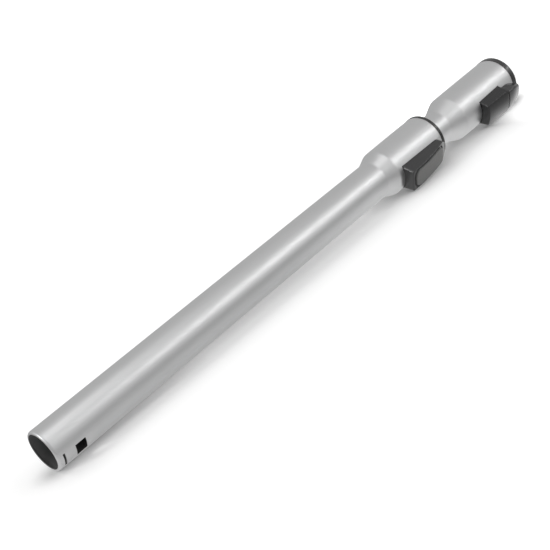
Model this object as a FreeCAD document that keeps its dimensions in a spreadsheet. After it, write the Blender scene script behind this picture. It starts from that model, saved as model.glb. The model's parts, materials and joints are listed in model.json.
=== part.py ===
import FreeCAD, Part
import Sketcher
import math
import os
import re

# Telescopic vacuum wand, pushed together, lying as it comes to rest
# Frame: the origin is on the tubes' axis where the lower tube's straight wall starts, just behind its
# rolled mouth. +X runs to the handle end and +Z is up. The lock and the release button are drawn along -Y,
# and every finished piece is then rolled about X by lie_angle, until both blocks touch the floor.
# Millimetres and degrees. Words such as tube_radius are cells of the sheet.

sizes = {
    # lower tube: a sheet tube with a rolled mouth, flared into the lock's collar
    "tube_radius": 17.5,
    "tube_wall": 0.8,
    "lip_bend": 2,
    "mouth_radius": 15.3,
    "plain_length": 383,
    "collar_radius": 22.4,
    "collar_rim_radius": 23.2,
    "collar_length": 78,
    # flares of both tubes
    "flare_angle": 21,
    "throat_bend": 6,
    "shoulder_bend": 5,
    # openings near the mouth that the floor tool's catch drops into
    "catch_start": 14.3,
    "catch_length": 9.5,
    "catch_width": 10.6,
    "cross_slot_start": 2.9,
    "cross_slot_length": 1.8,
    "cross_slot_width": 12,
    "catch_turn": 6,
    # how far a cut runs past the surface that it opens, and how deep an added form is rooted in its carrier
    "overrun": 1,
    "rooting": 0.3,
    # inner tube, flared into the handle's socket
    "slide_radius": 16,
    "slide_wall": 0.7,
    "neck_gap": 23.7,
    "socket_radius": 22.6,
    "socket_rim_radius": 23.3,
    "socket_length": 97,
    # notches pressed into the inner tube, and the groove opposite that keeps it from turning
    "notch_pitch": 18,
    "notch_steps": 18,
    "notch_depth": 2,
    "notch_floor": 3.6,
    "notch_lead": 1.2,
    "notch_width": 8,
    "groove_width": 4.2,
    "groove_depth": 1.2,
    "groove_past_rib": 2,
    # guide sleeve and the rib in the groove
    "guide_radius": 18.2,
    "guide_chamfer": 1,
    "rib_length": 18,
    "rib_width": 3.4,
    "rib_gap": 0.35,
    # clearances: running fits, seats, pressed pins, turning pins, and the stop at full length
    "running_gap": 0.08,
    "seat_gap": 0.1,
    "press_gap": 0.02,
    "turn_gap": 0.05,
    "stop_gap": 0.3,
    # bearing shells at the inner tube's lower end
    "shell_length": 14,
    "shell_arc": 176,
    "pip_radius": 2,
    # lock housing: a ring at the collar's end and a block through the collar's side
    "ring_radius": 23.4,
    "ring_length": 4,
    "ring_lip": 1.8,
    "ring_round": 1.2,
    "wiper_length": 4,
    "wiper_gap": 0.15,
    "skirt_length": 20,
    "block_back": 58.4,
    "block_reach": 31.6,
    "block_half": 10.5,
    "block_root": 17.5,
    "block_root_half": 11.9,
    "block_wall": 2,
    "block_corner": 1.8,
    "block_round": 0.8,
    # the block's face is crowned along its length and falls to the ring
    "crown_ahead": 5.4,
    "crown_radius": 205,
    "crown_slope": 12.7,
    "crown_run": 0.9,
    "crown_end_bend": 6,
    "crown_end_slope": 19.3,
    "chamfer_length": 7,
    "chamfer_depth": 5.3,
    "chamfer_bend": 6,
    "notch_margin": 0.15,
    # lock key, a rocker on a pin, with its pad
    "key_gap": 0.4,
    "key_end_gap": 1.2,
    "key_half": 8.9,
    "key_length": 49.4,
    "key_corner": 6.6,
    "key_drop": 0.3,
    "key_plate": 2.8,
    "pad_border": 0.8,
    "pad_recess": 0.9,
    "pad_proud": 1.3,
    "pad_round": 0.6,
    "key_pivot_ahead": 29.4,
    "key_pivot_drop": 5.6,
    "key_hub_drop": 0.4,
    "hub_radius": 3,
    "hub_inset": 0.2,
    "hub_flat": 0.05,
    "pin_radius": 1.25,
    "pin_half": 10.2,
    "pin_end_gap": 0.2,
    # steel pawl in the key
    "pawl_ahead": 11.2,
    "pawl_thickness": 3,
    "pawl_tip": 2.4,
    "pawl_half": 3.2,
    "pawl_drop": 4.6,
    "pawl_tip_bend": 0.4,
    "pawl_taper_gap": 0.4,
    "pawl_floor_gap": 0.25,
    "pawl_window_length": 12,
    "pawl_window_gap": 1,
    "holder_wall": 2.8,
    "holder_half": 5,
    "key_holder_drop": 9.2,
    "cross_pin_radius": 0.9,
    "key_cross_drop": 6.8,
    # springs
    "spring_radius": 2.6,
    "wire_radius": 0.35,
    "post_radius": 1.8,
    "post_height": 1.5,
    "lock_spring_ahead": 44.4,
    "lock_spring_turns": 4.2,
    "seat_radius": 3.2,
    "seat_drop": 7.7,
    "seat_height": 2,
    "release_spring_ahead": 5.7,
    "release_spring_turns": 5,
    # socket sleeve for the handle's spigot, with its end ring and fixed nose
    "bore_radius": 17.6,
    "relief_depth": 0.4,
    "barrel_radius": 19.2,
    "barrel_rooting": 0.7,
    "flange_gap": 1.5,
    "flange_length": 6,
    "shoulder_radius": 16.4,
    "shoulder_ahead": 6.5,
    "seal_length": 4,
    "seal_depth": 1,
    "seal_lip": 0.4,
    "seat_length": 15.7,
    "end_ring_radius": 23.5,
    "end_ring_length": 6.7,
    "mouth_chamfer": 0.8,
    "nose_gap": 1.5,
    "nose_half": 10,
    "nose_turn_ahead": 10.7,
    "nose_turn_bend": 16,
    "nose_end_half": 3.4,
    "nose_reach": 32.4,
    "nose_shoulder_ahead": 11.7,
    "nose_shoulder_reach": 32,
    "nose_shoulder_bend": 60,
    "nose_brow_back": 4,
    "nose_brow_reach": 28.6,
    "nose_brow_bend": 9,
    "nose_end_reach": 23.9,
    "nose_round": 2.4,
    # release button, a rocker on a pin, with its latch plate
    "button_back": 54.2,
    "button_length": 32.3,
    "button_reach": 30.9,
    "button_rise": 1.5,
    "button_base": 17.5,
    "button_spare": 0.6,
    "button_root_half": 12.2,
    "button_half": 10.4,
    "button_far_root_half": 13.2,
    "button_far_half": 11.2,
    "button_wall": 2,
    "button_corner": 1.6,
    "button_round": 1,
    "button_roof_wall": 3.1,
    "button_skirt": 21.6,
    "button_margin": 0.5,
    "button_pivot_ahead": 14,
    "button_pivot_drop": 3.6,
    "button_hub": 2.6,
    "button_hub_inset": 0.3,
    "ear_radius": 2.8,
    "ear_inside": 3.6,
    "ear_outside": 6,
    "latch_ahead": 27,
    "latch_thickness": 2,
    "latch_half": 4,
    "latch_bite": 1.5,
    "latch_drop": 1.2,
    "latch_cross_drop": 3,
    "latch_holder_drop": 5.4,
    "latch_tip_bend": 0.9,
    "latch_corner": 0.3,
    "latch_wall": 2,
    "latch_holder_half": 5.5,
    "latch_window_half": 5,
    "latch_window_gap": 0.6,
    "relief_back": 6,
    # how far the wand rolls from its buttons' plane before the two blocks touch the floor
    "lie_angle": 23.4,
}

# Places along the wand and reaches out from its axis, as formulas in the same sheet.
# Each follows the piece that it belongs to.
places = {
    "collar_end": "plain_length + collar_length",
    "neck_end": "collar_end + neck_gap",
    "socket_end": "neck_end + socket_length",
    "block_start": "collar_end - block_back",
    "crown_bend": "crown_radius * tan(crown_slope / 2)",
    "crown_place": "block_start + crown_ahead + crown_bend",
    "crown_end": "crown_place + crown_bend + crown_run",
    "key_pivot_reach": "block_reach - key_pivot_drop",
    "key_holder_reach": "block_reach - key_holder_drop",
    "key_cross_reach": "block_reach - key_cross_drop",
    "pawl_top": "block_reach - pawl_drop",
    "seat_reach": "block_reach - seat_drop",
    "key_pivot_place": "block_start + key_pivot_ahead",
    "pawl_place": "block_start + pawl_ahead",
    "lock_spring_place": "block_start + lock_spring_ahead",
    "throat_shift": "throat_bend * tan(flare_angle / 2)",
    "socket_flare": "(socket_radius - slide_radius) / tan(flare_angle)",
    "flange_start": "neck_end + throat_shift + socket_flare + flange_gap",
    "shoulder_place": "flange_start + shoulder_ahead",
    "button_start": "socket_end - button_back",
    "button_pivot_place": "button_start + button_pivot_ahead",
    "release_spring_place": "button_start + release_spring_ahead",
    "latch_place": "button_start + latch_ahead",
    "button_far_reach": "button_reach + button_rise",
    "button_top": "button_far_reach + button_spare",
    "button_roof": "button_reach - button_roof_wall",
    "button_pivot_reach": "button_roof - button_pivot_drop",
    "latch_top": "button_roof - latch_drop",
    "latch_cross_reach": "button_roof - latch_cross_drop",
    "latch_holder_reach": "button_roof - latch_holder_drop",
    "nose_start": "button_start + button_length + nose_gap",
    "nose_turn": "nose_start + nose_turn_ahead",
    "nose_shoulder": "nose_start + nose_shoulder_ahead",
    "nose_brow": "socket_end + end_ring_length - nose_brow_back",
}
cells = {**sizes, **{name: f"={formula}" for name, formula in places.items()}}

# A fillet takes an edge whose middle lies this near its place, and an upright edge is longer than this
NEAR = 0.02
UPRIGHT = 5

doc = FreeCAD.newDocument("telescopic_wand")
sheet = doc.addObject("Spreadsheet::Sheet", "Sizes")
for row, (name, value) in enumerate(cells.items(), start=1):
    sheet.set(f"A{row}", name)
    sheet.set(f"B{row}", str(value))
    sheet.setAlias(f"B{row}", name)
doc.recompute()

# Places worked out from the sizes, kept as expressions
SHEET_SHIFT = "tan(flare_angle / 2)"
TRAVEL = "notch_pitch * notch_steps"
TUBE_BORE = "(tube_radius - tube_wall)"
GUIDE_BORE = "(slide_radius + running_gap)"
COLLAR_SHOULDER = "(plain_length + throat_shift + (collar_radius - tube_radius) / tan(flare_angle))"
SOCKET_SHOULDER = "(neck_end + throat_shift + socket_flare)"
# the guide sleeve's shoulder seats on the inside of the flare
GUIDE_RISE = f"(guide_radius + seat_gap - {TUBE_BORE})"
GUIDE_THROAT = f"(plain_length + throat_shift + tube_wall * {SHEET_SHIFT})"
GUIDE_START = f"({GUIDE_THROAT} + {GUIDE_RISE} / tan(flare_angle) - guide_chamfer)"
RING_END = "(collar_end + ring_length)"
WIPER_END = f"({RING_END} - ring_lip)"
GUIDE_END = f"({WIPER_END} - wiper_length - seat_gap)"
SHELL_END = f"({GUIDE_START} - {TRAVEL} - stop_gap)"
SLIDE_START = f"({SHELL_END} - shell_length)"
PIP_PLACE = f"({SLIDE_START} + shell_length / 2)"
NOTCH_FLOOR_RADIUS = "(slide_radius - notch_depth)"
BLOCK_END = RING_END
CAVITY_START = "(block_start + block_wall)"
KEY_START = f"({CAVITY_START} + key_gap * 2)"
KEY_END = f"({KEY_START} + key_length)"
CAVITY_END = f"({KEY_END} + key_end_gap)"
KEY_UNDER = "(block_reach - key_drop - key_plate)"
END_RING_END = "(socket_end + end_ring_length)"
BUTTON_END = "(button_start + button_length)"


def bound(expression):
    """The expression with every size named as the sheet's cell."""

    def cell(word):
        return "Sizes." + word[0] if word[0] in cells else word[0]

    return re.sub(r"[a-z_]+\w*", cell, expression)


def uses_sizes(expression):
    return any(word in cells for word in re.findall(r"[a-z_]+\w*", expression))


def number(expression):
    """What the expression comes to with the sheet as it is."""
    result = sheet.evalExpression(bound(expression))
    return float(getattr(result, "Value", result))


def tie(thing, prop, expression):
    """Bind a property to the sheet."""
    if uses_sizes(expression):
        thing.setExpression(prop, bound(expression))
    else:
        setattr(thing, prop, number(expression))


def body(name):
    made = doc.addObject("PartDesign::Body", name)
    made.Label = name
    return made


def fix(sketch, kind, geometry, end, expression):
    """A coordinate or radius of the sketch, bound to the sheet."""
    place = (geometry, end) if end else (geometry,)
    index = sketch.addConstraint(Sketcher.Constraint(kind, *place, number(expression)))
    if uses_sizes(expression):
        sketch.setExpression(f"Constraints[{index}]", bound(expression))


def draw(sketch, corners):
    """A closed loop of straight sides; a corner with a third value is bent to that radius."""
    points = [FreeCAD.Vector(number(corner[0]), number(corner[1]), 0) for corner in corners]
    count = len(points)
    bends = {}
    for index, corner in enumerate(corners):
        if len(corner) == 3:
            back = (points[index - 1] - points[index]).normalize()
            ahead = (points[(index + 1) % count] - points[index]).normalize()
            half = back.getAngle(ahead) / 2
            radius = number(corner[2])
            reach = radius / math.tan(half)
            centre = points[index] + (back + ahead).normalize() * (radius / math.sin(half))
            left = back.cross(ahead).z < 0
            start = points[index] + back * reach
            end = points[index] + ahead * reach
            bends[index] = (start, end, centre, radius, left)
    sides = []
    for index in range(count):
        after = (index + 1) % count
        start = bends[index][1] if index in bends else points[index]
        end = bends[after][0] if after in bends else points[after]
        sides.append(sketch.addGeometry(Part.LineSegment(start, end)))
    for index, corner in enumerate(corners):
        before, side = sides[index - 1], sides[index]
        if index not in bends:
            sketch.addConstraint(Sketcher.Constraint("Coincident", before, 2, side, 1))
            fix(sketch, "DistanceX", side, 1, corner[0])
            fix(sketch, "DistanceY", side, 1, corner[1])
            continue
        start, end, centre, radius, left = bends[index]
        first, last = (start, end) if left else (end, start)
        angles = [math.atan2(point.y - centre.y, point.x - centre.x) for point in (first, last)]
        if angles[1] < angles[0]:
            angles[1] += 2 * math.pi
        circle = Part.Circle(centre, FreeCAD.Vector(0, 0, 1), radius)
        arc = sketch.addGeometry(Part.ArcOfCircle(circle, *angles))
        sketch.addConstraint(Sketcher.Constraint("Tangent", before, 2, arc, 1 if left else 2))
        sketch.addConstraint(Sketcher.Constraint("Tangent", arc, 2 if left else 1, side, 1))
        fix(sketch, "Radius", arc, 0, corner[2])
        apex = sketch.addGeometry(Part.Point(points[index]), True)
        sketch.addConstraint(Sketcher.Constraint("PointOnObject", apex, 1, before))
        sketch.addConstraint(Sketcher.Constraint("PointOnObject", apex, 1, side))
        fix(sketch, "DistanceX", apex, 1, corner[0])
        fix(sketch, "DistanceY", apex, 1, corner[1])


def outline(part, name, plane, *loops, offset="0", turn="0"):
    """A sketch of closed loops on one of the body's own planes, moved out along the plane's normal.

    The side view is XY_Plane, the plan seen from -Y is XZ_Plane and the cross-section is YZ_Plane.
    """
    sketch = part.newObject("Sketcher::SketchObject", name)
    support = next(item for item in part.Origin.OriginFeatures if item.Role == plane)
    sketch.AttachmentSupport = (support, [""])
    sketch.MapMode = "FlatFace"
    if offset != "0":
        sketch.setExpression("AttachmentOffset.Base.z", bound(offset))
    if turn != "0":
        sketch.AttachmentOffset = FreeCAD.Placement(FreeCAD.Vector(), FreeCAD.Vector(1, 0, 0), 1)
        sketch.setExpression("AttachmentOffset.Rotation.Angle", bound(turn))
    for loop in loops:
        draw(sketch, loop)
    doc.recompute()
    return sketch


def circle(part, name, plane, across, up, radius, offset="0"):
    """A sketch of one circle on one of the body's own planes."""
    sketch = outline(part, name, plane, offset=offset)
    centre = FreeCAD.Vector(number(across), number(up), 0)
    round_edge = sketch.addGeometry(Part.Circle(centre, FreeCAD.Vector(0, 0, 1), number(radius)))
    fix(sketch, "DistanceX", round_edge, 3, across)
    fix(sketch, "DistanceY", round_edge, 3, up)
    fix(sketch, "Radius", round_edge, 0, radius)
    doc.recompute()
    return sketch


def extrude(kind, sketch, length, both=False, back=False):
    """A Pad or Pocket of the sketch, to one side or to both."""
    part = sketch.getParentGeoFeatureGroup()
    feature = part.newObject("PartDesign::" + kind, sketch.Name + "_" + kind.lower())
    feature.Profile = sketch
    feature.SideType = "Symmetric" if both else "One side"
    feature.Reversed = back
    if length == "through":
        feature.Type = "ThroughAll"
    else:
        tie(feature, "Length", length)
    doc.recompute()
    return feature


def pad(sketch, length, both=False, back=False):
    return extrude("Pad", sketch, length, both, back)


def pocket(sketch, length, both=False, back=True):
    """A Pocket runs along the sketch's normal, as a Pad does, unless it is cut back."""
    return extrude("Pocket", sketch, length, both, back)


def turned(sketch, kind="Revolution"):
    """A Revolution or Groove of the sketch about the tubes' axis."""
    part = sketch.getParentGeoFeatureGroup()
    feature = part.newObject("PartDesign::" + kind, sketch.Name + "_" + kind.lower())
    feature.Profile = sketch
    feature.ReferenceAxis = (sketch, ["H_Axis"])
    feature.Angle = 360
    doc.recompute()
    return feature


def rounded(feature, radius, wanted):
    """A Fillet on the feature's edges whose middle point passes the test."""
    part = feature.getParentGeoFeatureGroup()
    names = []
    for index, edge in enumerate(feature.Shape.Edges, start=1):
        middle = edge.valueAt((edge.FirstParameter + edge.LastParameter) / 2)
        if wanted(edge, middle):
            names.append(f"Edge{index}")
    fillet = part.newObject("PartDesign::Fillet", feature.Name + "_fillet")
    fillet.Base = (feature, names)
    tie(fillet, "Radius", radius)
    doc.recompute()
    return fillet


def box_loop(left, right, low, high, bend=None):
    """Corners of a rectangle, all bent to one radius if one is given."""
    corners = [(left, low), (right, low), (right, high), (left, high)]
    return [corner + (bend,) for corner in corners] if bend else corners


def cross_hole(part, name, place, reach):
    """The sketch of a hole for a cross pin, which holds a steel piece in its moulding."""
    return circle(part, name, "XY_Plane", place, f"-{reach}", "cross_pin_radius + press_gap")


def pin(name, radius, half, place, reach):
    """A round pin across the wand, centred on the plane of the buttons."""
    made = body(name)
    section = circle(made, name + "_section", "XY_Plane", place, f"-({reach})", radius)
    pad(section, f"2 * ({half})", both=True)
    return made


def cut(name, base, tool):
    made = doc.addObject("Part::Cut", name)
    made.Base = base
    made.Tool = tool
    made.Label = name
    doc.recompute()
    return made


def flared_line(start, low, high, sheet_in="0"):
    """The two bent corners of a flare. sheet_in is how far the line lies inside the outer surface."""
    throat = f"({start} + throat_shift + ({sheet_in}) * {SHEET_SHIFT})"
    shoulder = f"{throat} + ({high} - {low}) / tan(flare_angle)"
    return [
        (throat, f"{low} - ({sheet_in})", f"throat_bend + ({sheet_in})"),
        (shoulder, f"{high} - ({sheet_in})", f"shoulder_bend - ({sheet_in})"),
    ]


def crown(out):
    """The corner where the lock block's face turns down, for a face that stands out by this much."""
    place = f"crown_place + ({out}) * tan(crown_slope / 2)"
    return (place, f"-(block_reach + ({out}))", f"crown_radius + ({out})")


def crown_height(place, out):
    """Where the falling part of that face is at a place along the wand."""
    corner = crown(out)
    return f"({corner[1]} + ({place} - ({corner[0]})) * tan(crown_slope))"


def crown_at(place, out):
    """The height of that face at a place, as a number."""
    corner, height, bend = (number(value) for value in crown(out))
    slope = math.radians(number("crown_slope"))
    start = corner - bend * math.tan(slope / 2)
    if place < start:
        return height
    if place > start + bend * math.sin(slope):
        return height + (place - corner) * math.tan(slope)
    return height + bend - math.sqrt(bend**2 - (place - start) ** 2)


def both_sides(corners):
    """A plan that is the same on both sides of the buttons' plane, from the corners of its upper side."""
    lower = [(corner[0], f"-({corner[1]})", *corner[2:]) for corner in corners]
    return list(reversed(corners)) + lower


def block_plan(gap, end):
    """The lock block's plan, from its near end to the given place; gap is added all round."""
    fall = "chamfer_depth / chamfer_length"
    return both_sides(
        [
            (f"block_start - ({gap})", f"block_root_half + {gap}"),
            (f"collar_end - chamfer_length + {gap}", f"block_root_half + {gap}", "chamfer_bend"),
            (end, f"block_root_half + {gap} - ({end} - collar_end + chamfer_length - {gap}) * {fall}"),
        ]
    )


def on_face(middle, out):
    """Whether an edge's middle lies on the block's face, or on one that stands out by this much."""
    return abs(middle.y - crown_at(middle.x, out)) < NEAR


def nose_plan(gap):
    """The nose's plan, which narrows towards the end ring; gap is added all round."""
    return [
        ("nose_start", f"nose_half + {gap}"),
        ("nose_turn", f"nose_half + {gap}", "nose_turn_bend"),
        (END_RING_END, f"nose_end_half + {gap}"),
    ]


# Lower tube
def make_outer_tube():
    tube = body("outer_tube")
    outside = flared_line("plain_length", "tube_radius", "collar_radius")
    inside = flared_line("plain_length", "tube_radius", "collar_radius", "tube_wall")
    profile = outline(
        tube,
        "outer_tube_section",
        "XY_Plane",
        [
            ("-lip_bend", "mouth_radius"),
            ("-lip_bend", "tube_radius", "lip_bend"),
            *outside,
            ("collar_end", "collar_rim_radius"),
            ("collar_end", "collar_rim_radius - tube_wall"),
            *reversed(inside),
            ("tube_wall - lip_bend", TUBE_BORE, "lip_bend - tube_wall"),
            ("tube_wall - lip_bend", "mouth_radius"),
        ],
    )
    turned(profile)
    window = box_loop("catch_start", "catch_start + catch_length", "-catch_width / 2", "catch_width / 2")
    pocket(outline(tube, "catch_window", "XZ_Plane", window, turn="catch_turn"), "tube_radius + overrun")
    slot = box_loop(
        "cross_slot_start",
        "cross_slot_start + cross_slot_length",
        "-cross_slot_width / 2",
        "cross_slot_width / 2",
    )
    pocket(outline(tube, "cross_slot", "XZ_Plane", slot, turn="catch_turn"), "tube_radius + overrun")
    notch = block_plan("notch_margin", RING_END)
    pocket(outline(tube, "collar_notch", "XZ_Plane", notch), "collar_rim_radius + overrun")
    return tube


# Inner tube: the outside form less the inside form, so the pressed notches keep the sheet's thickness
def slide_form(name, sheet_in, overrun):
    """A solid of the tube's outer surface, or of its inner one with both ends run past the sheet."""
    form = body(name)
    radius = f"(slide_radius - ({sheet_in}))"
    start = f"{SLIDE_START} - ({overrun})"
    loop = [
        (start, "0"),
        (start, radius),
        *flared_line("neck_end", "slide_radius", "socket_radius", sheet_in),
        ("socket_end", f"socket_rim_radius - ({sheet_in})"),
    ]
    if overrun != "0":
        loop.append((f"socket_end + {overrun}", f"socket_rim_radius - ({sheet_in})"))
    loop.append((f"socket_end + ({overrun})", "0"))
    profile = outline(form, name + "_section", "XY_Plane", loop)
    turned(profile)
    groove = box_loop(
        f"{SHELL_END} - ({sheet_in})",
        f"{GUIDE_START} + rib_length + groove_past_rib + ({sheet_in})",
        f"{radius} - groove_depth",
        f"{radius} + overrun",
    )
    groove_sketch = outline(form, name + "_groove", "XY_Plane", groove)
    pocket(groove_sketch, f"groove_width + 2 * ({sheet_in})", both=True)
    slope = "notch_lead / notch_depth"
    lean = f"({sheet_in}) * tan(atan(notch_depth / notch_lead) / 2)"
    floor = f"(notch_floor / 2 + {lean})"
    top = f"({floor} + (notch_depth + overrun) * {slope})"
    notch = [
        (f"pawl_place - {floor}", f"notch_depth - {radius}"),
        (f"pawl_place - {top}", f"-({radius} + overrun)"),
        (f"pawl_place + {top}", f"-({radius} + overrun)"),
        (f"pawl_place + {floor}", f"notch_depth - {radius}"),
    ]
    notch_sketch = outline(form, name + "_notch", "XY_Plane", notch)
    first = pocket(notch_sketch, f"notch_width + 2 * ({sheet_in})", both=True)
    row = form.newObject("PartDesign::LinearPattern", name + "_notch_row")
    row.Originals = [first]
    row.Direction = (next(item for item in form.Origin.OriginFeatures if item.Role == "X_Axis"), [""])
    row.Reversed = True
    row.setExpression("Length", bound(TRAVEL))
    row.setExpression("Occurrences", bound("notch_steps + 1"))
    form.Tip = row
    doc.recompute()
    return form


def make_inner_tube():
    outside = slide_form("slide_outside", "0", "0")
    inside = slide_form("slide_inside", "slide_wall", "overrun")
    shell = cut("slide_sheet", outside, inside)
    opening = body("socket_opening")
    gap = "notch_margin"
    loop = both_sides(
        [
            ("button_start - button_margin", f"button_root_half + {gap}"),
            (f"{BUTTON_END} + button_margin", f"button_far_root_half + {gap}"),
            (f"{BUTTON_END} + button_margin", f"nose_half + {gap}"),
            *nose_plan(gap)[1:],
        ]
    )
    pad(outline(opening, "socket_notch", "XZ_Plane", loop), "socket_rim_radius + overrun")
    open_tube = cut("slide_open", shell, opening)
    pips = pin("pip_holes", "pip_radius + seat_gap", "slide_radius + overrun", PIP_PLACE, "0")
    return cut("inner_tube", open_tube, pips)


def make_bearing_shell(name, side):
    """Half a plain bearing that clips round the inner tube with a pip in its wall; side is +1 above."""
    shell = body(name)
    low = "slide_radius + press_gap"
    high = f"{TUBE_BORE} - seat_gap"
    sign = "" if side > 0 else "-"
    loop = [
        (SLIDE_START, f"{sign}({low})"),
        (SLIDE_START, f"{sign}({high})"),
        (SHELL_END, f"{sign}({high})"),
        (SHELL_END, f"{sign}({low})"),
    ]
    half = shell.newObject("PartDesign::Revolution", name + "_half")
    half.Profile = outline(shell, name + "_section", "XZ_Plane", loop)
    half.ReferenceAxis = (half.Profile[0], ["H_Axis"])
    half.Midplane = True
    tie(half, "Angle", "shell_arc")
    doc.recompute()
    start = f"{sign}(slide_radius - slide_wall + seat_gap)"
    pip = circle(shell, name + "_pip", "XY_Plane", PIP_PLACE, "0", "pip_radius", start)
    pad(pip, f"slide_wall + ({high} - slide_radius) / 2", back=side < 0)
    return shell


# Guide sleeve and wiper in the first collar
def make_guide_sleeve():
    sleeve = body("guide_sleeve")
    profile = outline(
        sleeve,
        "guide_section",
        "XY_Plane",
        [
            (GUIDE_START, GUIDE_BORE),
            (GUIDE_START, "guide_radius - guide_chamfer"),
            (f"{GUIDE_START} + guide_chamfer", "guide_radius"),
            (GUIDE_END, "guide_radius"),
            (GUIDE_END, GUIDE_BORE),
        ],
    )
    turned(profile)
    rib = box_loop(
        GUIDE_START,
        f"{GUIDE_START} + rib_length",
        "slide_radius - groove_depth + rib_gap",
        f"{GUIDE_BORE} + rooting",
    )
    pad(outline(sleeve, "guide_rib", "XY_Plane", rib), "rib_width", both=True)
    window = box_loop(
        "pawl_place - pawl_window_length / 2",
        "pawl_place + pawl_window_length / 2",
        "-(pawl_half + pawl_window_gap)",
        "pawl_half + pawl_window_gap",
    )
    pocket(outline(sleeve, "pawl_window", "XZ_Plane", window), "guide_radius + overrun")
    foot = "guide_radius - 2 * rooting"
    post = circle(sleeve, "guide_post", "XZ_Plane", "lock_spring_place", "0", "post_radius", foot)
    pad(post, "post_height + 2 * rooting")
    return sleeve


def make_ring(name, start, end, low, high):
    ring = body(name)
    turned(outline(ring, name + "_section", "XY_Plane", box_loop(start, end, low, high)))
    return ring


# Lock housing: ring, skirt and block in one moulding
def make_lock_housing():
    housing = body("lock_housing")
    root = "-block_root"
    reach = "-block_reach"
    section = [
        (root, "-block_root_half"),
        (root, "block_root_half"),
        (reach, "block_half"),
        (reach, "-block_half"),
    ]
    length = f"{BLOCK_END} - block_start - ring_round"
    pad(outline(housing, "block_section", "YZ_Plane", section, offset="block_start"), length)
    above = "-(block_reach + overrun)"
    fall = crown_height("crown_end", "0")
    face = [
        ("block_start - overrun", above),
        ("block_start - overrun", "-block_reach"),
        crown("0"),
        ("crown_end", fall, "crown_end_bend"),
        (f"{BLOCK_END} + overrun", f"{fall} + ({BLOCK_END} + overrun - crown_end) * tan(crown_end_slope)"),
        (f"{BLOCK_END} + overrun", above),
    ]
    pocket(outline(housing, "block_face", "XY_Plane", face), "through", both=True)
    around = box_loop(
        "block_start - overrun",
        f"{BLOCK_END} + overrun",
        "-(block_root_half + overrun)",
        "block_root_half + overrun",
    )
    plan = outline(housing, "block_plan", "XZ_Plane", around, block_plan("0", BLOCK_END))
    shaped = pocket(plan, "block_reach + overrun")
    start = number("block_start")
    side = number("block_half") - NEAR
    shaped = rounded(
        shaped,
        "block_corner",
        lambda edge, middle: abs(middle.x - start) < NEAR
        and abs(middle.z) > side
        and edge.BoundBox.YLength > UPRIGHT,
    )
    end = number("crown_end - crown_run")
    shaped = rounded(shaped, "block_round", lambda edge, middle: on_face(middle, "0") and middle.x < end)
    bore = "guide_radius + seat_gap"
    taper = f"(collar_rim_radius - collar_radius) / (collar_end - {COLLAR_SHOULDER})"
    skirt = "collar_rim_radius - tube_wall - seat_gap"
    ring = [
        ("collar_end - skirt_length", bore),
        ("collar_end - skirt_length", f"{skirt} - skirt_length * {taper}"),
        ("collar_end", skirt),
        ("collar_end", "ring_radius"),
        (RING_END, "ring_radius", "ring_round"),
        (RING_END, f"{GUIDE_BORE} + seat_gap"),
        (WIPER_END, f"{GUIDE_BORE} + seat_gap"),
        (WIPER_END, bore),
    ]
    turned(outline(housing, "ring_section", "XY_Plane", ring))
    inside = box_loop("block_start - overrun", WIPER_END, "0", bore)
    turned(outline(housing, "housing_bore", "XY_Plane", inside), "Groove")
    cavity = box_loop(
        CAVITY_START,
        CAVITY_END,
        "-(key_half + key_gap)",
        "key_half + key_gap",
        "key_corner + key_gap",
    )
    pocket(outline(housing, "key_cavity", "XZ_Plane", cavity), "block_reach + overrun")
    pivot = ("key_pivot_place", "-key_pivot_reach")
    hole = circle(housing, "key_pin_hole", "XY_Plane", *pivot, "pin_radius + press_gap")
    pocket(hole, "2 * (pin_half + pin_end_gap)", both=True)
    return housing


# Lock key with its pad, pawl and pins
def crowned_plate(name, low, high, border):
    """A plate along the block's crowned face between two heights, inside the key's outline by a border."""
    plate = body(name)
    end = f"({BLOCK_END} + overrun)"
    side = [
        ("block_start", f"-(block_reach + ({high}))"),
        crown(high),
        (end, crown_height(end, high)),
        (end, crown_height(end, low)),
        crown(low),
        ("block_start", f"-(block_reach + ({low}))"),
    ]
    pad(outline(plate, name + "_side", "XY_Plane", side), "2 * block_half", both=True)
    inside = box_loop(
        f"{KEY_START} + ({border})",
        f"{KEY_END} - ({border})",
        f"({border}) - key_half",
        f"key_half - ({border})",
        f"key_corner - ({border})",
    )
    around = box_loop(
        "block_start - overrun",
        f"{BLOCK_END} + 2 * overrun",
        "-(block_half + overrun)",
        "block_half + overrun",
    )
    plan = outline(plate, name + "_plan", "XZ_Plane", around, inside)
    pocket(plan, "block_reach + pad_proud + overrun")
    return plate


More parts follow.
